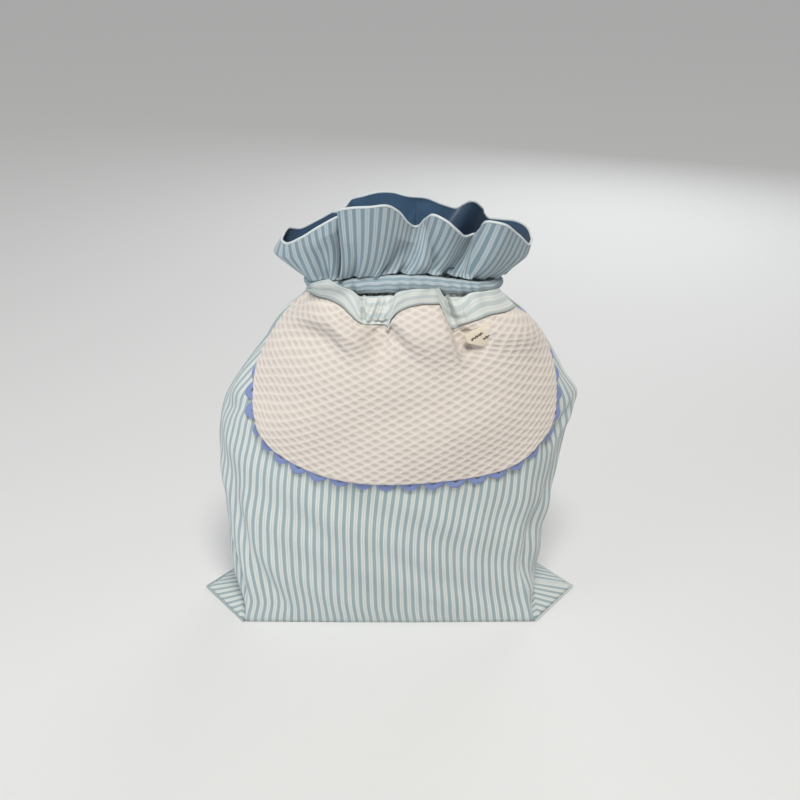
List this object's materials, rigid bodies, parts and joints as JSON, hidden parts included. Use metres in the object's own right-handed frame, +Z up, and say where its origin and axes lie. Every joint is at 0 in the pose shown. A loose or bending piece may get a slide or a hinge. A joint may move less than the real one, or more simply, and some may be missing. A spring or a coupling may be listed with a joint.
{
  "type": "lined drawstring sack",
  "caption": "Stuffed, lined cloth sack that stands on boxed corners, with a gathered drawstring neck, a ruffled mouth and a braid-edged flap hanging over the front.",
  "frame": {"origin": "middle of the base, on the ground", "axes": "+Z up along the sack's height, front with the flap towards -Y, +X to the right as seen from the front"},
  "size_m": [0.406, 0.1728, 0.449],
  "materials": {
    "ticking": "woven cotton ticking, pale grey-blue stripes on off-white",
    "lining": "plain slate-blue cotton",
    "cord": "twisted cotton cord",
    "quilting": "white waffle-weave pique",
    "backing": "plain white cotton",
    "braid": "cornflower-blue rick-rack braid",
    "label": "folded cream satin tape"
  },
  "bodies": {
    "sack": {"front_panel": "ticking", "back_panel": "ticking", "front_lining": "lining", "back_lining": "lining", "neck_casing": "ticking", "drawcord": "cord"},
    "flap": {"flap_yoke": "ticking", "flap_panel": "quilting", "flap_backing": "backing", "rickrack_trim": "braid"},
    "label": {"label": "label"}
  },
  "joints": [
    {"name": "flap_lift", "type": "hinge", "parent": "sack", "child": "flap", "pos_m": [0, -0.045, 0.362], "axis": [-1, 0, 0], "range_deg": [0, 100], "deforming": ["flap_yoke"]},
    {"name": "label_lift", "type": "hinge", "parent": "flap", "child": "label", "pos_m": [0.08223, -0.04659, 0.33869], "axis": [-0.8994, -0.3907, -0.1961], "range_deg": [0, 90]}
  ]
}
